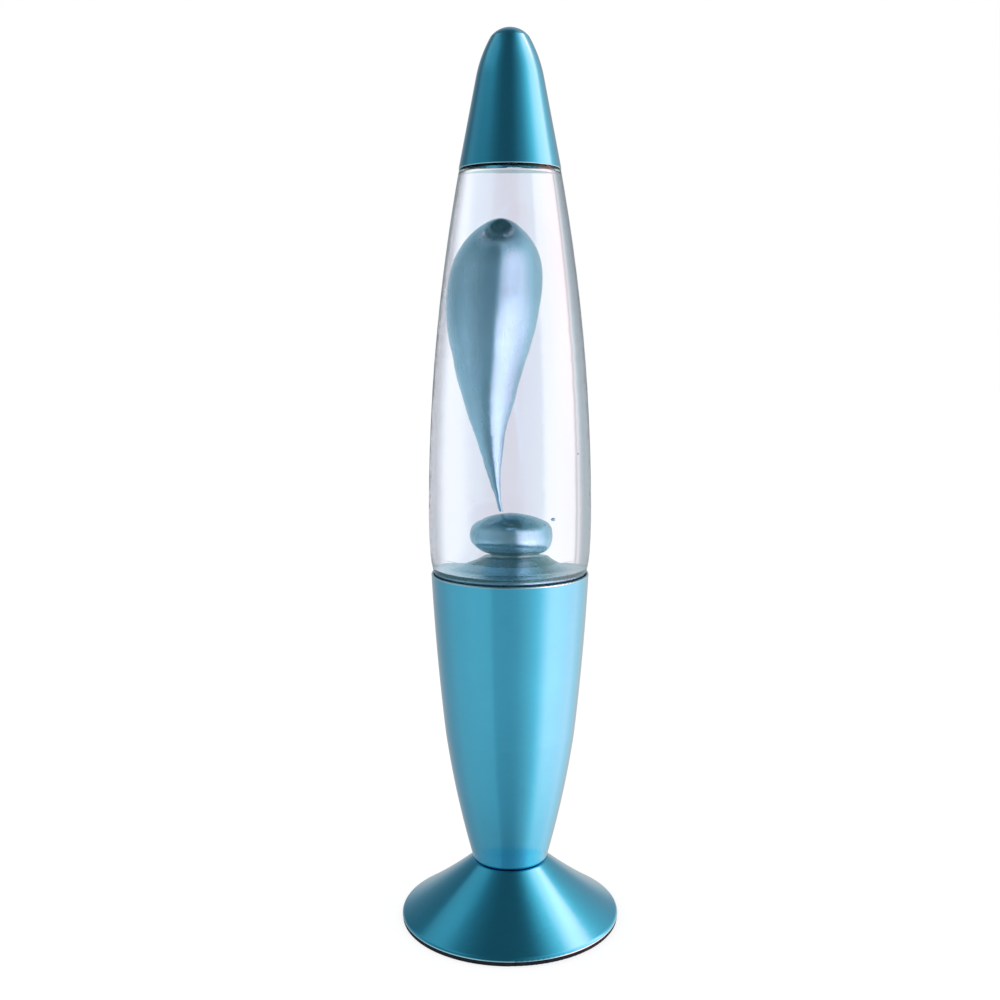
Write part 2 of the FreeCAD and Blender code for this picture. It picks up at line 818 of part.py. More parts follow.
def bulb_envelope():
    inside = " - bulb_glass"
    return turned("bulb_envelope", [
        ("neck_radius" + inside, "neck_bottom"),
        ("neck_radius", "neck_bottom"),
        ("bulb_neck_radius", "bulb_neck_low"),
        ("bulb_neck_radius", "bulb_neck_top"),
        ("bulb_radius", "bulb_shoulder", "bulb_bowl_sweep", 1),
        ("0", "bulb_top", dome("bulb_radius", "bulb_top - bulb_shoulder"), 1),
        ("0", "bulb_top" + inside),
        ("bulb_radius" + inside, "bulb_shoulder",
         dome("bulb_radius" + inside, "bulb_top - bulb_shoulder" + inside), -1),
        ("bulb_neck_radius" + inside, "bulb_neck_top", "bulb_bowl_sweep" + inside, -1),
        ("bulb_neck_radius" + inside, "bulb_neck_low + bulb_glass / 2"),
    ])


def bulb_mirror():
    """The silvered layer on the inside of the bulb's bowl."""
    outside = " - bulb_glass - mirror_sheet / 2"
    inside = " - bulb_glass - 1.5 * mirror_sheet"
    return turned("bulb_mirror", [
        ("bulb_neck_radius" + outside, "bulb_neck_top"),
        ("bulb_radius" + outside, "bulb_shoulder", "bulb_bowl_sweep", 1),
        ("bulb_radius" + inside, "bulb_shoulder"),
        ("bulb_neck_radius" + inside, "bulb_neck_top", "bulb_bowl_sweep", -1),
    ])


def bulb_stem():
    return turned("bulb_stem", [
        ("0", "neck_bottom"),
        ("stem_radius", "neck_bottom"),
        ("stem_neck_radius", "neck_bottom + stem_radius", "stem_radius * 1.4", -1),
        ("stem_neck_radius", "stem_top"),
        ("0", "stem_top"),
    ])


def bulb_wires():
    """Two support wires that lean out from the stem to the filament's ends."""
    lean = "atan((filament_radius - stem_neck_radius / 2) / (filament_height - stem_top))"
    solids = []
    for side, name in ((-1, "left"), (1, "right")):
        wire = primitive("Cylinder", "support_wire_" + name, Radius="support_wire_radius",
                         Height="(filament_height - stem_top) / cos(%s) - 2 * support_wire_radius" % lean)
        wire.Placement.Rotation = FreeCAD.Rotation(FreeCAD.Vector(0, 1, 0), side * number(lean))
        solids.append(place(wire, x="%d * stem_neck_radius / 2" % side, z="stem_top + support_wire_radius"))
    return group("bulb_wires", solids)


def bulb_filament():
    filament = primitive("Torus", "bulb_filament", Radius1="filament_radius", Radius2="filament_wire_radius")
    filament.Angle3 = 180
    return place(filament, z="filament_height")


# bottle


def bottle_glass():
    return turned("bottle_glass", [
        ("0", "bottle_bottom + bottle_push_up"),
        ("bottle_foot_radius - glass", "bottle_bottom + 0.2 * metal",
         dome("bottle_foot_radius - glass", "bottle_push_up - 0.2 * metal"), -1),
        ("bottle_foot_radius", "bottle_bottom"),
        ("bottle_heel_radius", "bottle_heel", "bottle_heel_round", 1),
        ("bottle_seat_radius", "cup_rim"),
        ("bottle_tuck_radius", "bottle_tuck", "bottle_tuck_sweep", 1),
        ("bottle_belly_radius", "bottle_belly", "bottle_hip_sweep", 1),
        ("ledge_radius", "ledge", "bottle_sweep", 1),
        ("shoulder_radius", "ledge + 0.2 * metal"),
        ("neck_outer_radius", "neck_base", "shoulder_round", 1),
        ("neck_outer_radius", "mouth - 2.4 * neck_bead_round"),
        ("neck_bead_radius", "mouth - 1.6 * neck_bead_round", "neck_bead_round", 1),
        ("neck_bead_radius", "mouth - neck_bead_round"),
        ("neck_bead_radius - neck_bead_round", "mouth", "neck_bead_round", 1),
        ("neck_bore", "mouth"),
        ("neck_bore", "neck_base - metal"),
        ("shoulder_radius - glass", "ledge + metal", "shoulder_round - metal", -1),
        ("ledge_radius - glass", "ledge - 0.6 * metal"),
        ("bottle_belly_radius - glass", "bottle_belly", "bottle_sweep - glass", -1),
        ("bottle_tuck_radius - glass", "bottle_tuck", "bottle_hip_sweep - glass", -1),
        ("bottle_seat_radius - glass", "cup_rim", "bottle_tuck_sweep - glass", -1),
        ("bottle_heel_radius - glass", "bottle_heel + 0.2 * metal"),
        ("bottle_foot_radius", "bottle_bottom + 1.4 * glass", "bottle_heel_round - glass", -1),
        ("0", "bottle_bottom + bottle_push_up + 1.2 * glass"),
    ])


INSIDE = " - glass - liquid_gap"


def wax_pool():
    wall = "bottle_seat_radius" + INSIDE
    slope = "(bottle_seat_radius - bottle_heel_radius) / (cup_rim - bottle_heel)"
    return turned("wax_pool", [
        ("0", "pool_bottom"),
        ("pool_step_radius", "pool_bottom"),
        ("pool_step_radius", "pool_step"),
        ("%s - %s * (cup_rim - pool_step)" % (wall, slope), "pool_step"),
        (wall, "cup_rim"),
        (wall + " + 0.8 * metal", "pool_level", "bottle_tuck_sweep", 1),
        ("mound_radius", "pool_level + 0.6 * metal"),
        ("waist_radius", "waist_height", "mound_sweep", -1),
        ("button_radius", "button_height", "button_low_round", 1),
        ("button_shoulder_radius", "button_shoulder", "button_shoulder_round", 1),
        ("0", "button_top", dome("button_shoulder_radius", "button_top - button_shoulder"), 1),
    ])


def drop_loft(name, grow):
    """A leaning, swaying teardrop through round sections: a thin thread at its foot, full near its crown."""
    sections = []
    for step in range(DROP_SECTIONS):
        turn = "(%d * 180 / %d)" % (step, DROP_SECTIONS)
        up = "((1 - cos%s) / 2)" % turn
        girth = "drop_fullness * sin%s * sin(%s / 2) ^ drop_taper * (1 - drop_point * %s ^ 12)" % (turn, turn, up)
        ring = primitive("Circle", "%s_section_%d" % (name, step),
                         Radius="%s + drop_thread * cos(%s / 2) ^ 3 + %s" % (girth, turn, grow))
        sway = "-drop_lean - drop_sway * sin(180 * %s ^ 0.8)" % up
        level = "drop_tip - %s + (drop_top - drop_tip + 2 * %s) * %s" % (grow, grow, up)
        sections.append(place(ring, x=sway, z=level))
    loft = doc.addObject("Part::Loft", name)
    loft.Sections = sections
    loft.Solid = True
    return loft


def liquid():
    core = turned("liquid_core", [
        ("0", "liquid_level - meniscus"),
        ("0", "button_top + liquid_gap"),
        ("button_shoulder_radius + liquid_gap", "button_shoulder + liquid_gap",
         dome("button_shoulder_radius + liquid_gap", "button_top - button_shoulder"), -1),
        ("button_radius + liquid_gap", "button_height", "button_shoulder_round + liquid_gap", -1),
        ("waist_radius + liquid_gap", "waist_height", "button_low_round + liquid_gap", -1),
        ("mound_radius", "pool_level + 0.6 * metal + liquid_gap", "mound_sweep", 1),
        ("bottle_seat_radius" + INSIDE + " + 0.8 * metal", "pool_level + liquid_gap"),
        ("bottle_tuck_radius" + INSIDE, "bottle_tuck", "bottle_tuck_sweep", 1),
        ("bottle_belly_radius" + INSIDE, "bottle_belly", "bottle_hip_sweep", 1),
        ("ledge_radius" + INSIDE, "liquid_level - meniscus", "bottle_sweep", 1),
        ("ledge_radius" + INSIDE, "liquid_level"),
        ("ledge_radius - glass - meniscus * 1.2", "liquid_level - meniscus", "meniscus * 1.6", 1),
    ])
    thread = primitive("Cylinder", "thread_room", Radius="2 * drop_gap", Height="drop_tip + 4 * metal - button_top")
    room = doc.addObject("Part::Fuse", "wax_room")
    room.Base = drop_loft("drop_room", "drop_gap")
    room.Tool = place(thread, x="-drop_lean", z="button_top - metal")
    return cut("liquid", core, room)


def wax_drop():
    return drop_loft("wax_drop", "0")


BEADS = (
    ("button_radius + 0.6 * metal", "0", "button_top - 3.3 * metal", "bead_radius"),
    ("1.4 * button_radius", "button_radius", "button_top + button_radius * 1.75", "small_bead_radius"),
)


def wax_beads():
    """Loose beads of wax that drift in the liquid beside the large drop."""
    solids = []
    for index, (x, y, z, radius) in enumerate(BEADS, start=1):
        solids.append(place(primitive("Sphere", "wax_bead_%d" % index, Radius=radius), x=x, y=y, z=z))
    return group("wax_beads", solids)


def coil():
    return wound("coil", "coil_radius", "coil_wire_radius", "coil_bottom", "coil_height", 2)


def crown_liner():
    return place(primitive("Cylinder", "crown_liner", Radius="liner_radius", Height="liner_thickness"), z="mouth")


def crown_closure():
    body = new_body("crown_closure")
    top = "mouth + liner_thickness"
    revolve(body, outline(body, "closure_outline", [
        ("closure_radius - closure_sheet", "closure_skirt"),
        ("closure_radius", "closure_skirt"),
        ("closure_top_radius + 4 * closure_sheet", top + " - 3 * closure_sheet"),
        ("closure_top_radius", top + " + closure_sheet", "6 * closure_sheet", 1),
        ("0", top + " + closure_sheet"),
        ("0", top),
        ("closure_top_radius", top),
        ("closure_top_radius + 3 * closure_sheet", top + " - 3 * closure_sheet", "5 * closure_sheet", -1),
    ]))
    flute = circles(body, "closure_flute", [("closure_radius + 0.4 * closure_flute_radius", "0",
                                             "closure_flute_radius")], level="closure_skirt - closure_sheet")
    repeat(body, [cut_through(body, flute, "4 * closure_flute_radius")], "closure_flutes")
    return body


# cap


def cap():
    return turned("cap", [
        ("cap_rim_radius - metal", "cap_bottom + cap_rim_round"),
        ("cap_rim_radius - cap_rim_round", "cap_bottom", "cap_rim_round", 1),
        ("cap_rim_radius", "cap_bottom + cap_rim_round", "cap_rim_round", 1),
        ("cap_shoulder_radius", "cap_shoulder"),
        ("cap_crown_radius", "cap_crown", "cap_shoulder_sweep", 1),
        ("0", "cap_top", dome("cap_crown_radius", "cap_top - cap_crown"), 1),
        ("0", "cap_top - metal"),
        ("cap_crown_radius - metal * 0.6", "cap_crown - metal * 0.8",
         dome("cap_crown_radius - metal * 0.6", "cap_top - cap_crown - metal * 0.2"), -1),
        ("cap_shoulder_radius - metal", "cap_shoulder", "cap_shoulder_sweep - metal", -1),
    ])


SUB_PARTS = [
    base_foot, base_cup, foot_ring, bottom_cover, cover_brackets, cover_screws, cord_grommet, nipple, nipple_nut,
    earth_tag, lock_washer, holder_base, holder_body, holder_shell, holder_contact, contact_spring, holder_clamps,
    holder_clamp_screws, terminal_block, terminal_screws, live_lead, neutral_lead, earth_lead, bulb_tip,
    bulb_insulator, bulb_shell, bulb_envelope, bulb_mirror, bulb_stem, bulb_wires, bulb_filament, bottle_glass,
    wax_pool, liquid, wax_drop, wax_beads, coil, crown_liner, crown_closure, cap,
]


def main():
    parts = [make() for make in SUB_PARTS]
    doc.recompute()
    failed = [thing.Name for thing in doc.Objects if "Invalid" in thing.State or "Error" in thing.State]
    assert not failed, "failed objects: %s" % failed
    for part in parts:
        assert not part.Shape.isNull() and part.Shape.isValid(), part.Label + " has no valid shape"
    os.makedirs("parts", exist_ok=True)
    for part in parts:
        part.Shape.exportStep("parts/%s.step" % part.Label)
        print("%-20s %10.1f mm3, %d solids" % (part.Label, part.Shape.Volume, len(part.Shape.Solids)))


main()
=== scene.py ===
import math

import bmesh
import bpy
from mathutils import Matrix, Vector, noise


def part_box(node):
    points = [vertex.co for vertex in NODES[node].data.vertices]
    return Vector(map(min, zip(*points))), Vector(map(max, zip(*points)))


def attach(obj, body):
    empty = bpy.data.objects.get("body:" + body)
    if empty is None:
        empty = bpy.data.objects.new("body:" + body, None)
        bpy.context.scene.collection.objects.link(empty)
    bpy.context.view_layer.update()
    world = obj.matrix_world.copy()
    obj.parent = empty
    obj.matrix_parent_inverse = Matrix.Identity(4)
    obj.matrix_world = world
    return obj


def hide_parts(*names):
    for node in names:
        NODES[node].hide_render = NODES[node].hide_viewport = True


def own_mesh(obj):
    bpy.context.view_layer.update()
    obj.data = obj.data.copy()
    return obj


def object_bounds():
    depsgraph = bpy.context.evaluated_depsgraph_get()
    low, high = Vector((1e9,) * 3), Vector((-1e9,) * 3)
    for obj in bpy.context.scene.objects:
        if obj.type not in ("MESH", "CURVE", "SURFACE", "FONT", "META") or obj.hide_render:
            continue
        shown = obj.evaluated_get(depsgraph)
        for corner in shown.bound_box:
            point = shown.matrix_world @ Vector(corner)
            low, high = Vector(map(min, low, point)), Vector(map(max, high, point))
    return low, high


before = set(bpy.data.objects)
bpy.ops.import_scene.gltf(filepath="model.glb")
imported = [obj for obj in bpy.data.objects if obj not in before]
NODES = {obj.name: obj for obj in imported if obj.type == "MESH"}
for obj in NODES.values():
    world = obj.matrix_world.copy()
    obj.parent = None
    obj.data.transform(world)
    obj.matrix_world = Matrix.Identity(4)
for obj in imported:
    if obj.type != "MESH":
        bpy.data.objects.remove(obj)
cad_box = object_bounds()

# A lava lamp in a plain white studio. Lengths are metres in the frame of the CAD model, with +Z up and the
# lamp's axis at x = y = 0. The outlines of the turned pieces are in millimetres, as (radius, height).

MM = 0.001

# colours, linear RGB
TEAL = (0.048, 0.437, 0.645)
DEEP_TEAL = (0.034, 0.430, 0.630)
# the pale teal of the painted highlight along the rims of the spun pieces
PAINTED_EDGE_HIGHLIGHT = (0.50, 0.74, 0.80)
WAX = (0.240, 0.490, 0.680)
PALE_WAX = (0.30, 0.50, 0.63)
RUBBER = (0.006, 0.008, 0.012)
WHITE_PLASTIC = (0.72, 0.70, 0.64)
BLACK_PLASTIC = (0.012, 0.012, 0.014)
BRASS = (0.62, 0.42, 0.14)
STEEL = (0.52, 0.52, 0.50)
TIN = (0.62, 0.62, 0.60)
LIQUID_TINT = (0.95, 0.962, 0.985)

GLASS_IOR = 1.50
LIQUID_IOR = 1.36

# lamp heights read from the frame
CUP_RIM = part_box("base_cup")[1].z
CAP_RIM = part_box("cap")[0].z
FOOT_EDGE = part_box("base_foot")[0].z
LIQUID_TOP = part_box("liquid")[1].z

# the melted wax, in millimetres: the level of the pool, and the heights of the painted shade that darkens
# the neck between its mound and the button
POOL_LEVEL = 168.9
PAINTED_SHADE_LOW = 172.0
PAINTED_SHADE_HIGH = 178.0

# the share of a noise texture's range that carries nearly all of its values
NOISE_LOW = 0.3
NOISE_HIGH = 0.7


# ---------------------------------------------------------------- node trees


class Signal:
    """The output of a node. Signals and constants go together in formulas, as numbers do."""

    def __init__(self, tree, socket):
        self.tree = tree
        self.socket = socket

    def __add__(self, other):
        return self.tree.math("ADD", self, other)

    def __sub__(self, other):
        return self.tree.math("SUBTRACT", self, other)

    def __rsub__(self, other):
        return self.tree.math("SUBTRACT", other, self)

    def __mul__(self, other):
        return self.tree.math("MULTIPLY", self, other)

    def __lt__(self, other):
        return self.tree.math("LESS_THAN", self, other)

    def __gt__(self, other):
        return self.tree.math("GREATER_THAN", self, other)

    def __neg__(self):
        return self * -1.0

    __radd__ = __add__


class NodeTree:
    """Short calls for the nodes that materials and the world share."""

    def __init__(self, tree):
        self.tree = tree

    def add(self, kind, **settings):
        node = self.tree.nodes.new("ShaderNode" + kind)
        for key, value in settings.items():
            setattr(node, key, value)
        return node

    def output(self, node, name=0):
        return Signal(self, node.outputs[name])

    def feed(self, value, socket):
        """Joins a signal to a socket, or sets the socket to a number, a vector or a colour."""
        if isinstance(value, Signal):
            self.tree.links.new(value.socket, socket)
        elif socket.type == "RGBA":
            socket.default_value = (*value, 1.0)
        else:
            socket.default_value = value

    def math(self, operation, a, b=0.0):
        node = self.add("Math", operation=operation)
        for value, socket in zip((a, b), node.inputs):
            self.feed(value, socket)
        return self.output(node)

    def mix(self, factor, a, b):
        """Goes from colour a to colour b as the factor goes from nought to one."""
        node = self.add("Mix", data_type="RGBA")
        colours = [socket for socket in node.inputs if socket.type == "RGBA"]
        for value, socket in zip((factor, a, b), (node.inputs[0], *colours)):
            self.feed(value, socket)
        return Signal(self, next(socket for socket in node.outputs if socket.type == "RGBA"))

    def split(self, vector):
        """The x, y and z of a vector."""
        node = self.add("SeparateXYZ")
        self.feed(vector, node.inputs[0])
        return [Signal(self, socket) for socket in node.outputs]

    def ray(self, name):
        """What is known of the ray that meets this shader, such as its Glossy Depth."""
        return self.output(self.add("LightPath"), name)


def scaled(colour, share):
    """A darker or paler shade of a colour."""
    return tuple(min(1.0, share * c) for c in colour)


class Finish(NodeTree):
    """The node tree of a new material."""

    def __init__(self, name):
        self.material = bpy.data.materials.new(name)
        self.material.use_nodes = True
        super().__init__(self.material.node_tree)
        self.shader = self.tree.nodes["Principled BSDF"]
        self.place = self.output(self.add("TexCoord"), "Object")

    def set(self, **values):
        """Sets constant values on the shader; an underscore in a name stands for a space."""
        for key, value in values.items():
            self.feed(value, self.shader.inputs[key.replace("_", " ")])

    def noise(self, scale, stretch=(1, 1, 1), detail=4.0):
        """A noise texture that stays with the object; a stretch under one draws it out along that axis."""
        mapping = self.add("Mapping")
        self.feed(stretch, mapping.inputs["Scale"])
        self.feed(self.place, mapping.inputs["Vector"])
        node = self.add("TexNoise")
        for name, value in (("Scale", scale), ("Detail", detail), ("Roughness", 0.55),
                            ("Vector", self.output(mapping))):
            self.feed(value, node.inputs[name])
        return self.output(node, "Fac")

    def ramp(self, value, low, high):
        """Goes evenly from one number to another over the main range of a noise."""
        node = self.add("ValToRGB")
        for stop, place, level in zip(node.color_ramp.elements, (NOISE_LOW, NOISE_HIGH), (low, high)):
            stop.position = place
            stop.color = (level, level, level, 1.0)
        self.feed(value, node.inputs["Fac"])
        return self.output(node, "Color")

    def cloudy(self, scale, colour, darker, paler, detail=4.0):
        """A colour that drifts between a darker and a paler shade of itself."""
        cloud = self.noise(scale, detail=detail)
        return self.mix(self.ramp(cloud, 0.0, 1.0), scaled(colour, darker), scaled(colour, paler))

    def height(self):
        return self.split(self.place)[2]

    def colour(self, value):
        self.feed(value, self.shader.inputs["Base Color"])

    def roughness(self, value, low, high):
        self.feed(self.ramp(value, low, high), self.shader.inputs["Roughness"])

    def bump(self, value, strength, distance):
        node = self.add("Bump")
        for name, given in (("Strength", strength), ("Distance", distance), ("Height", value)):
            self.feed(given, node.inputs[name])
        self.feed(self.output(node), self.shader.inputs["Normal"])


# ---------------------------------------------------------------- finishes

# the stretch of a noise that turns it into fine rings round the lamp's axis
RINGS = (0.02, 0.02, 1.0)


def spun_metal(name, colour=TEAL, coat=1.48, painted_highlight_below=None, painted_highlight_above=None):
    """Teal anodised aluminium, spun on a lathe: fine rings round the axis, a clear coat, and a painted
    highlight in pale teal along the lowest or highest edge.
    """
    n = Finish(name)
    n.set(Metallic=1.0, Anisotropic=0.3, Coat_Weight=1.0, Coat_Roughness=0.08, Coat_IOR=coat)
    n.feed(n.output(n.add("Tangent", direction_type="RADIAL", axis="Z")), n.shader.inputs["Tangent"])
    rings = n.noise(9000, RINGS, detail=3)
    tint = n.cloudy(28, colour, 0.94, 1.05, detail=3)
    tint = n.mix(n.ramp(rings, 0.0, 0.16), tint, scaled(colour, 1.4))
    # painted highlight: the metal below or above a given height turns pale, where its rounded edge would
    # catch the light
    if painted_highlight_below is not None:
        tint = n.mix(n.height() < painted_highlight_below, tint, PAINTED_EDGE_HIGHLIGHT)
    if painted_highlight_above is not None:
        tint = n.mix(n.height() > painted_highlight_above, tint, PAINTED_EDGE_HIGHLIGHT)
    n.colour(tint)
    n.roughness(rings, 0.14, 0.21)
    n.bump(rings, 0.05, 0.00002)
    return n.material


def plain(name, colour, rough, grain=1500, bump=0.15, spread=0.18, **more):
    """A moulded or plated finish: slight cloudy colour, grain in the gloss and a fine bump."""
    n = Finish(name)
    n.set(**more)
    n.colour(n.cloudy(60, colour, 1 - spread, 1 + spread))
    fine = n.noise(grain)
    n.roughness(fine, rough * 0.8, min(1.0, rough * 1.25))
    n.bump(fine, bump, 0.00005)
    return n.material


def brushed(name, colour, rough=0.28):
    """Plated or pressed metal with fine turned lines."""
    n = Finish(name)
    n.set(Metallic=1.0, Anisotropic=0.3)
    lines = n.noise(5000, RINGS, detail=2)
    n.colour(n.cloudy(90, colour, 0.85, 1.1))
    n.roughness(lines, rough * 0.8, rough * 1.3)
    n.bump(lines, 0.1, 0.00002)
    return n.material


def clear(name, ior, tint, wave=0.0):
    """Glass or liquid: the tint is what one face lets through, and a wave makes the face slightly uneven."""
    n = Finish(name)
    n.set(Base_Color=tint, Roughness=0.0, IOR=ior, Transmission_Weight=1.0, Specular_Tint=(0.42, 1.0, 1.0))
    if wave:
        n.bump(n.noise(14, (1, 1, 0.25), detail=2), wave, 0.002)
    return n.material


def wax_material():
    """Satin, pearly wax: a soft metallic body with streaks along its flow, a faint painted glow, and painted
    shade that darkens the neck under the button.
    """
    n = Finish("wax_pearl")
    # the emission is a faint painted glow: the wax gives out a little light of its own
    n.set(Metallic=0.88, Coat_Weight=1.0, Coat_Roughness=0.16, Coat_IOR=2.2,
          Emission_Color=(0.05, 0.35, 0.55), Emission_Strength=0.06)
    flow = n.noise(110, (1, 1, 0.12))
    tint = n.mix(n.ramp(flow, 0.0, 0.35), n.cloudy(45, WAX, 0.86, 1.18), PALE_WAX)
    # painted shade: between these heights the wax turns to a quarter of its colour, where the button shades
    # the neck
    neck = (n.height() > PAINTED_SHADE_LOW * MM) * (n.height() < PAINTED_SHADE_HIGH * MM)
    n.colour(n.mix(neck, tint, scaled(WAX, 0.25)))
    n.roughness(flow, 0.20, 0.32)
    n.bump(n.noise(300, detail=2), 0.04, 0.0001)
    return n.material


def rubber_material():
    """Matt black rubber with a faint teal sheen."""
    n = Finish("ring_rubber")
    n.set(Specular_IOR_Level=0.15, Specular_Tint=(0.5, 0.9, 1.0))
    n.colour(n.cloudy(240, RUBBER, 1.0, 2.2))
    n.roughness(n.noise(900), 0.55, 0.8)
    n.bump(n.noise(2600), 0.3, 0.00004)
    return n.material


def striped(name, body, stripe):
    """Lead insulation in two colours that take turns along the lead's height."""
    n = Finish(name)
    n.set(Roughness=0.38)
    radians_per_metre = 1600.0
    n.colour(n.mix(n.math("SINE", n.height() * radians_per_metre) > 0.2, body, stripe))
    n.bump(n.noise(900), 0.1, 0.00005)
    return n.material


def dress(node, material):
    """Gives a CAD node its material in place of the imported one."""
    mesh = NODES[node].data
    mesh.materials.clear()
    mesh.materials.append(material)
    mesh.shade_smooth()


# ---------------------------------------------------------------- mesh helpers


def new_piece(name, vertices, faces, body, slot, *replaced):
    """A smooth mesh that rides on a body in place of the CAD nodes it replaces."""
    mesh = bpy.data.meshes.new(name)
    mesh.from_pydata(vertices, [], faces)
    mesh.validate()
    bm = bmesh.new()
    bm.from_mesh(mesh)
    bmesh.ops.recalc_face_normals(bm, faces=bm.faces)
    bm.to_mesh(mesh)
    bm.free()
    mesh.shade_smooth()
    piece = bpy.data.objects.new(name, mesh)
    bpy.context.scene.collection.objects.link(piece)
    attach(piece, body)
    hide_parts(*replaced)
    return piece


def skin(rows, closed_low=False):
    """Faces over rows of points that go round; a pole is a row of one point, a closed end a flat face."""
    vertices = []
    starts = []
    for row in rows:
        starts.append(len(vertices))
        vertices.extend(row)
    faces = []
    for index in range(len(rows) - 1):
        low, high = rows[index], rows[index + 1]
        a, b = starts[index], starts[index + 1]
        count = max(len(low), len(high))
        for step in range(count):
            after = (step + 1) % count
            if len(low) == 1:
                faces.append((a, b + after, b + step))
            elif len(high) == 1:
                faces.append((a + step, a + after, b))
            else:
                faces.append((a + step, a + after, b + after, b + step))
    if closed_low:
        faces.append(tuple(starts[0] + step for step in reversed(range(len(rows[0])))))
    return vertices, faces


# ---------------------------------------------------------------- turned outlines

LEFT = 1
RIGHT = -1

# points in a ring of a turned piece
ROUND = 192


def sweep_to(points, end, radius, turn, step=1.2):
    """Goes on from the last point along an arc to end, turning left or right."""
    start = points[-1]
    run, climb = end[0] - start[0], end[1] - start[1]
    half = math.hypot(run, climb) / 2
    reach = math.sqrt(max(0.0, radius * radius - half * half))
    middle = (start[0] + run / 2 - climb / (2 * half) * turn * reach,
              start[1] + climb / 2 + run / (2 * half) * turn * reach)
    first = math.atan2(start[1] - middle[1], start[0] - middle[0])
    angle = 2 * math.asin(min(1.0, half / radius)) * turn
    count = max(2, int(abs(angle) * radius / step))
    for index in range(1, count + 1):
        bearing = first + angle * index / count
        points.append((middle[0] + radius * math.cos(bearing), middle[1] + radius * math.sin(bearing)))
    points[-1] = end


def run_to(points, end, step=1.5):
    """Goes on from the last point straight to end."""
    start = points[-1]
    count = max(1, int(math.dist(start, end) / step))
    for index in range(1, count + 1):
        share = index / count
        points.append((start[0] + (end[0] - start[0]) * share, start[1] + (end[1] - start[1]) * share))


def ring(middle, radius, count, wobble=None):
    """A level row of points round a middle in millimetres, returned in metres."""
    row = []
    for index in range(count):
        bearing = 2 * math.pi * index / count
        out = Vector((math.cos(bearing), math.sin(bearing), 0.0))
        point = middle + out * radius
        row.append((wobble(point, out) if wobble else point) * MM)
    return row


def lathe(points, wobble=None):
    """Rows of points round the lamp's axis from a half outline."""
    rows = []
    for radius, height in points:
        middle = Vector((0.0, 0.0, height))
        rows.append(ring(middle, radius, ROUND, wobble) if radius > 0.01 else [middle * MM])
    return rows


def turned_piece(name, points, body, slot, material, *replaced, wobble=None):
    """A piece turned round the lamp's axis from a half outline."""
    vertices, faces = skin(lathe(points, wobble))
    piece = new_piece(name, vertices, faces, body, slot, *replaced)
    piece.data.materials.append(material)


# ---------------------------------------------------------------- materials on the CAD nodes

CLEAR_GLASS = clear("flint_glass", GLASS_IOR, (0.985, 0.99, 1.0), wave=0.015)
LIQUID = clear("lamp_liquid", LIQUID_IOR, LIQUID_TINT)
BULB_GLASS = clear("bulb_glass", GLASS_IOR, (0.98, 0.99, 1.0))
WAX_PEARL = wax_material()
SHINY_STEEL = brushed("zinc_plate", STEEL)
SCREW_STEEL = brushed("screw_plate", (0.50, 0.48, 0.42), 0.34)
BRASS_METAL = brushed("brass", BRASS, 0.30)
TIN_PLATE = brushed("tin_plate", TIN, 0.22)
SILVER = brushed("lamp_mirror", (0.86, 0.87, 0.88), 0.08)
MOULDED_WHITE = plain("thermoset", WHITE_PLASTIC, 0.42, spread=0.05)
NYLON = plain("nylon", (0.74, 0.72, 0.66), 0.5, spread=0.05, Subsurface_Weight=0.1)
MOULDED_BLACK = plain("black_moulding", BLACK_PLASTIC, 0.5, grain=2200, bump=0.35)

FINISHES = {
    # the foot's bottom edge, the cup's rim and the cap's rim carry a painted highlight
    "base_foot": spun_metal("spun_foot", DEEP_TEAL, 1.36, painted_highlight_below=FOOT_EDGE + 0.3 * MM),
    "base_cup": spun_metal("spun_cup", painted_highlight_above=CUP_RIM - 0.6 * MM),
    "cap": spun_metal("spun_cap", DEEP_TEAL, 1.4, painted_highlight_below=CAP_RIM + 0.35 * MM),
    "foot_ring": rubber_material(),
    "cord_grommet": plain("grommet_rubber", RUBBER, 0.7, bump=0.3),
    "bottom_cover": MOULDED_BLACK,
    "bottle_glass": CLEAR_GLASS,
    "liquid": LIQUID,
    "wax_pool": WAX_PEARL,
    "wax_drop": WAX_PEARL,
    "wax_beads": WAX_PEARL,
    "coil": SHINY_STEEL,
    "cover_brackets": SHINY_STEEL,
    "nipple_nut": SHINY_STEEL,
    "lock_washer": SHINY_STEEL,
    "contact_spring": SHINY_STEEL,
    "bulb_wires": SHINY_STEEL,
    "bulb_filament": SHINY_STEEL,
    "cover_screws": SCREW_STEEL,
    "holder_clamp_screws": SCREW_STEEL,
    "terminal_screws": SCREW_STEEL,
    "nipple": BRASS_METAL,
    "earth_tag": BRASS_METAL,
    "holder_shell": BRASS_METAL,
    "holder_contact": BRASS_METAL,
    "holder_clamps": BRASS_METAL,
    "bulb_shell": BRASS_METAL,
    "holder_base": MOULDED_WHITE,
    "holder_body": MOULDED_WHITE,
    "terminal_block": NYLON,
    "live_lead": plain("brown_lead", (0.060, 0.020, 0.008), 0.38),
    "neutral_lead": plain("blue_lead", (0.010, 0.050, 0.300), 0.38),
    "earth_lead": striped("green_yellow_lead", (0.030, 0.200, 0.020), (0.600, 0.480, 0.030)),
    "bulb_tip": plain("solder", (0.48, 0.48, 0.47), 0.35, bump=0.3, Metallic=1.0),
    "bulb_insulator": plain("vitrite", (0.010, 0.008, 0.016), 0.12),
    "bulb_envelope": BULB_GLASS,
    "bulb_stem": BULB_GLASS,
    "bulb_mirror": SILVER,
    "crown_liner": plain("liner", (0.66, 0.66, 0.62), 0.6, spread=0.05),
    "crown_closure": TIN_PLATE,
}

for node, finish in FINISHES.items():
    dress(node, finish)


# ---------------------------------------------------------------- liquid, wax and spring


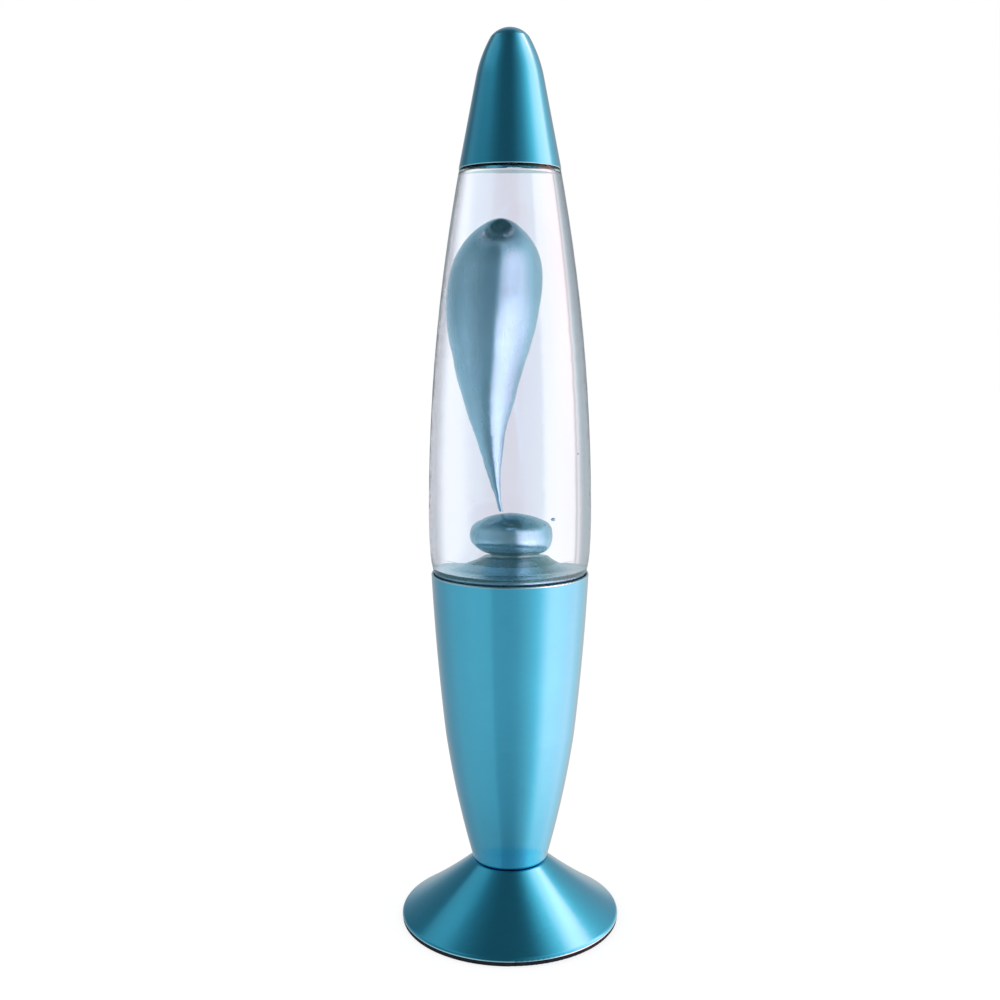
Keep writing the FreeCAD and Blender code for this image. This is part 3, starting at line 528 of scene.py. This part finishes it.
def lamp_liquid():
    """The liquid, a little wider than the bottle's inside, so that no air is left between the two."""
    top = LIQUID_TOP / MM
    edge = 0.8
    points = [(0.0, 126.5)]
    # the bottle's domed floor and the round at its edge
    run_to(points, (23.5, 124.7))
    sweep_to(points, (28.4, 128.6), 5.2, LEFT)
    # the cone in the cup, the widest part, and the long taper to the crown
    run_to(points, (33.1, 165.7))
    sweep_to(points, (34.8, 175.0), 40.0, LEFT)
    sweep_to(points, (35.35, 190.0), 203.0, LEFT)
    sweep_to(points, (21.0, top), 842.0, LEFT)
    # the liquid's own surface
    sweep_to(points, (19.0, top - edge), 3.0, LEFT, 0.2)
    run_to(points, (0.0, top - edge))
    turned_piece("lamp_liquid", points, "bottle", "clear_liquid", LIQUID, "liquid")


def lumps(point, size, amount):
    """A slow lump at a point in millimetres."""
    return amount * noise.noise(point / size)


def wax_in_pool():
    """The melted pool with its mound and the button of wax that stands on it, slightly uneven all round."""
    floor, coil_top, coil_inside = 127.6, 134.0, 20.6
    button_radius, button_height, button_round = 14.0, 184.6, 7.5
    points = [(0.0, floor)]
    # the hollow that the coil lies in
    run_to(points, (coil_inside, floor))
    run_to(points, (coil_inside, coil_top))
    run_to(points, (28.6, coil_top))
    # the side against the glass and the rolled edge of the pool
    run_to(points, (32.6, 165.7))
    run_to(points, (32.9, POOL_LEVEL - 2.2), 0.5)
    sweep_to(points, (30.8, POOL_LEVEL), 2.2, LEFT, 0.3)
    # the mound
    run_to(points, (22.5, POOL_LEVEL + 0.2))
    sweep_to(points, (18.8, POOL_LEVEL + 1.2), 6.0, RIGHT, 0.4)
    sweep_to(points, (11.6, 174.4), 40.0, RIGHT, 0.5)
    sweep_to(points, (8.6, 175.2), 2.2, LEFT, 0.3)
    # the waist and the button
    sweep_to(points, (8.2, 176.6), 1.4, RIGHT, 0.3)
    sweep_to(points, (button_radius, button_height), button_round, LEFT, 0.4)
    sweep_to(points, (10.5, 191.0), button_round, LEFT, 0.4)
    sweep_to(points, (0.0, 194.6), 17.1, LEFT, 0.4)

    def uneven(point, out):
        """Lumps above the pool's level, and a neck that leans to one side."""
        share = min(1.0, max(0.0, (point.z - POOL_LEVEL) / 4.0))
        near_neck = math.exp(-((point.z - 175.5) / 4.0) ** 2)
        lean = Vector((0.5 * share + 1.3 * near_neck, 0.0, 0.0))
        rise = Vector((0.0, 0.0, lumps(point + Vector((30, 0, 0)), 8.0, 0.35)))
        return point + lean + share * (out * lumps(point, 9.0, 0.45) + rise)

    turned_piece("wax_in_pool", points, "bottle", "wax", WAX_PEARL, "wax_pool", wobble=uneven)


def rising_wax():
    """The leaning teardrop: full below its crown, with a long tail that thins to a thread."""
    fullness, taper, flat_crown, thread = 25.9, 2.35, 0.32, 0.7
    foot, length, sway = Vector((-3.0, 0.0, 195.2)), 128.0, 4.1
    rings = 200
    rows = []
    for index in range(rings):
        turn = math.pi * index / rings
        up = (1 - math.cos(turn)) / 2
        radius = fullness * math.sin(turn) * math.sin(turn / 2) ** taper * (1 - flat_crown * up ** 12)
        radius += thread * math.cos(turn / 2) ** 3
        middle = foot + Vector((-sway * math.sin(math.pi * up ** 0.8), 0.0, length * up))
        amount = 0.35 * min(1.0, radius / 8)
        rows.append(ring(middle, radius, 128, lambda point, out: point + out * lumps(point, 16.0, amount)))
    rows.append([(foot + Vector((0.0, 0.0, length))) * MM])
    vertices, faces = skin(rows, closed_low=True)
    piece = new_piece("rising_wax", vertices, faces, "drop", "wax", "wax_drop")
    piece.data.materials.append(WAX_PEARL)


def pressed_spring():
    """The coil spring under the centre contact, on its own copy of the CAD mesh."""
    coil = NODES["contact_spring"].data
    vertices = [tuple(vertex.co) for vertex in coil.vertices]
    faces = [tuple(face.vertices) for face in coil.polygons]
    piece = new_piece("pressed_spring", vertices, faces, "base", "steel", "contact_spring")
    piece.data.materials.append(SHINY_STEEL)
    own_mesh(piece)


lamp_liquid()
wax_in_pool()
rising_wax()
pressed_spring()


# ---------------------------------------------------------------- studio


# light from round about the lamp, as (azimuth in degrees, strength): 0 is in front of it and 90 at its right
LIGHT_BELOW = ((-180, 0.5), (-150, 0.45), (-130, 0.46), (-115, 0.52), (-95, 0.66), (-60, 0.75), (-30, 0.75),
               (-25, 0.57), (0, 0.55), (12, 0.6), (31, 0.84), (42, 1.05), (53, 1.35), (63, 1.56), (75, 1.56),
               (115, 1.35), (138, 0.95), (155, 0.65), (180, 0.5))
LIGHT_ABOVE = ((-180, 0.45), (-158, 0.36), (-145, 0.26), (-125, 0.2), (-117, 0.33), (-105, 0.4), (-80, 0.32),
               (-50, 0.25), (-25, 0.14), (0, 0.13), (12, 0.17), (32, 0.37), (43, 0.6), (53, 0.9), (64, 1.25),
               (76, 1.55), (100, 1.76), (107, 1.68), (115, 1.1), (124, 0.8), (131, 0.68), (145, 0.5),
               (158, 0.42), (180, 0.45))
LIGHT_ON_WAX = ((-180, 0.5), (-120, 0.5), (-85, 0.62), (-50, 0.45), (-15, 0.26), (8, 0.24), (15, 0.45),
                (22, 1.25), (42, 1.75), (74, 1.65), (98, 1.15), (130, 0.75), (180, 0.5))


class Studio(NodeTree):
    """The node tree of the world. Azimuths and heights are degrees."""

    def __init__(self):
        world = bpy.data.worlds.new("studio")
        bpy.context.scene.world = world
        world.use_nodes = True
        world.cycles.sampling_method = "NONE"
        super().__init__(world.node_tree)
        self.x, self.y, self.z = self.split(self.output(self.add("TexCoord"), "Generated"))
        self.azimuth = self.math("ARCTAN2", self.x, -self.y) * math.degrees(1)
        self.height = self.math("ARCSINE", self.z) * math.degrees(1)

    def rise(self, value, low, high):
        """Goes smoothly from nought at low to one at high."""
        node = self.add("MapRange", interpolation_type="SMOOTHSTEP")
        for name, given in (("Value", value), ("From Min", low), ("From Max", high)):
            self.feed(given, node.inputs[name])
        return self.output(node, "Result")

    def band(self, value, low, high, soft_low, soft_high):
        """One between two values, nought outside, with soft edges centred on them."""
        up = self.rise(value, low - soft_low / 2, low + soft_low / 2)
        down = self.rise(value, high - soft_high / 2, high + soft_high / 2)
        return up * (1 - down)

    def round_about(self, azimuth, stops):
        """A strength that changes with the azimuth, from (degrees, strength) stops of at most two."""
        node = self.add("ValToRGB")
        ramp = node.color_ramp
        while len(ramp.elements) < len(stops):
            ramp.elements.new(0.5)
        for element, (angle, strength) in zip(ramp.elements, stops):
            element.position = angle / 360 + 0.5
            element.color = (strength / 2, strength / 2, strength / 2, 1.0)
        self.feed(azimuth * (1 / 360) + 0.5, node.inputs["Fac"])
        return self.output(node, "Color") * 2.0

    def shade(self, red, green, blue):
        node = self.add("CombineColor")
        for value, socket in zip((red, green, blue), node.inputs):
            self.feed(value, socket)
        return self.output(node, "Color")

    def mirrored(self):
        """What surfaces reflect: a bright softbox at the right, a dim one at the left and a dark front."""
        below = self.round_about(self.azimuth, LIGHT_BELOW) * (1 - self.rise(-self.height, 22, 70) * 0.45)
        azimuth = self.azimuth * (1 - self.rise(self.height, 20, 55) * 0.08)
        left_box = self.band(azimuth, -120, -55, 8, 30) * self.band(self.height, 30, 58, 12, 12)
        streak = self.band(azimuth, 97, 112, 9, 9) * self.band(self.height, 36, 60, 12, 12)
        above = self.round_about(azimuth, LIGHT_ABOVE) + left_box * 0.2 + streak * 0.35
        overhead = self.rise(self.height, 50, 80)
        above = above * (1 - overhead) + overhead * 0.13
        horizon = self.rise(self.height, -9, 9)
        light = below * (1 - horizon) + above * horizon

        # warm where it is brightest, in a first reflection outside the glass, and bluer where it is dark
        direct = (self.ray("Glossy Depth") < 1.5) * (self.ray("Transmission Depth") < 0.5)
        glow = self.rise(light, 1.0, 1.7) * (horizon * 0.6 + 1.5)
        middling = self.rise(light, 0.2, 0.8)
        red = (glow + streak * 0.8) * direct + middling * 0.18 + 0.82
        return self.shade(light * red, light * (glow * 0.05 + 1.0), light * (1.12 - middling * 0.12))

    def mirrored_in_bottle(self):
        """What the wax reflects where it is seen through the glass: a broader softbox, stronger low down."""
        light = self.round_about(self.azimuth, LIGHT_ON_WAX)
        light = light * (1 - self.rise(self.height, 25, 60) * 0.5)
        light = light * (1 + self.rise(-self.height, 4, 25) * 0.4)
        red = self.rise(light, 0.8, 1.5) * 0.34 + 0.80
        return self.shade(light * red, light, light * 1.06)

    def behind_bottle(self):
        """What shows through the bottle: pale lavender, a white wall at each side, grey at the edges."""
        through = self.math("ARCTAN2", self.x, self.y) * math.degrees(1)
        left_wall = self.band(through, -37, -12, 6, 3)
        right_wall = self.rise(through - self.height * 1.2, 20, 30) * 0.8
        white = self.math("MAXIMUM", left_wall, right_wall)
        crease = self.band(through, -33.5, -31, 2, 2) * 0.3
        across = self.math("ABSOLUTE", self.x)
        edges = self.rise(across, 0.46, 0.70) * (1 - self.rise(across, 0.87, 0.97)) * 0.56
        level = 1 - crease - edges
        red, green, blue = white * 0.20 + 0.78, white * 0.19 + 0.83, white * 0.14 + 0.92
        return self.shade(level * red, level * green, level * blue)


def world_light():
    """White for the camera. Reflections, the view through the glass and diffuse light have their own."""
    studio = Studio()
    through_glass = studio.ray("Transmission Depth") > 0.5
    reflected = studio.mix(through_glass, studio.mirrored(), studio.mirrored_in_bottle())
    light = studio.mix(studio.ray("Glossy Depth") > 0.5, studio.behind_bottle(), reflected)
    light = studio.mix(studio.ray("Diffuse Depth") > 0.5, light, (0.95, 0.95, 0.95))
    light = studio.mix(studio.ray("Is Camera Ray"), light, (1.0, 1.0, 1.0))
    background = studio.tree.nodes["Background"]
    studio.feed(light, background.inputs["Color"])
    studio.feed(1.0, background.inputs["Strength"])


def white_floor():
    """A large white disc under the lamp. Reflections and what shows through the glass leave it out."""
    centre = Vector((0.0, 0.0, 0.0))
    rings = [ring(centre, radius, 96) for radius in (50.0, 120.0, 400.0, 1500.0, 6000.0)]
    vertices, faces = skin([[centre], *rings])
    mesh = bpy.data.meshes.new("floor")
    mesh.from_pydata(vertices, [], faces)
    floor = bpy.data.objects.new("floor", mesh)
    floor.location.z = cad_box[0].z - 0.02 * MM
    bpy.context.scene.collection.objects.link(floor)
    n = Finish("white_floor")
    n.set(Base_Color=(0.28, 0.28, 0.285), Roughness=0.9, Specular_IOR_Level=0.0,
          Emission_Color=(1.0, 1.0, 1.0), Emission_Strength=0.77)
    bounced = n.math("MAXIMUM", n.ray("Glossy Depth"), n.ray("Transmission Depth"))
    clear_floor = n.output(n.add("BsdfTransparent"))
    blend = n.add("MixShader")
    for value, socket in zip((bounced > 0.5, n.output(n.shader), clear_floor), blend.inputs):
        n.feed(value, socket)
    n.feed(n.output(blend), n.tree.nodes["Material Output"].inputs["Surface"])
    mesh.materials.append(n.material)


def front_camera():
    """The camera stands in front of the lamp and is tilted a little down."""
    distance, eye_level, tilt = 0.549, 0.2725, 0.133
    data = bpy.data.cameras.new("camera")
    data.sensor_width = 36.0
    data.lens = 43.66
    data.shift_x = -0.01
    data.clip_start = 0.01
    data.clip_end = 50.0
    camera = bpy.data.objects.new("camera", data)
    camera.location = (0.0, -distance, eye_level)
    camera.rotation_euler = (math.pi / 2 - tilt, 0.0, 0.0)
    bpy.context.scene.collection.objects.link(camera)
    bpy.context.scene.camera = camera


world_light()
white_floor()
front_camera()
bpy.context.scene.view_settings.view_transform = "Standard"
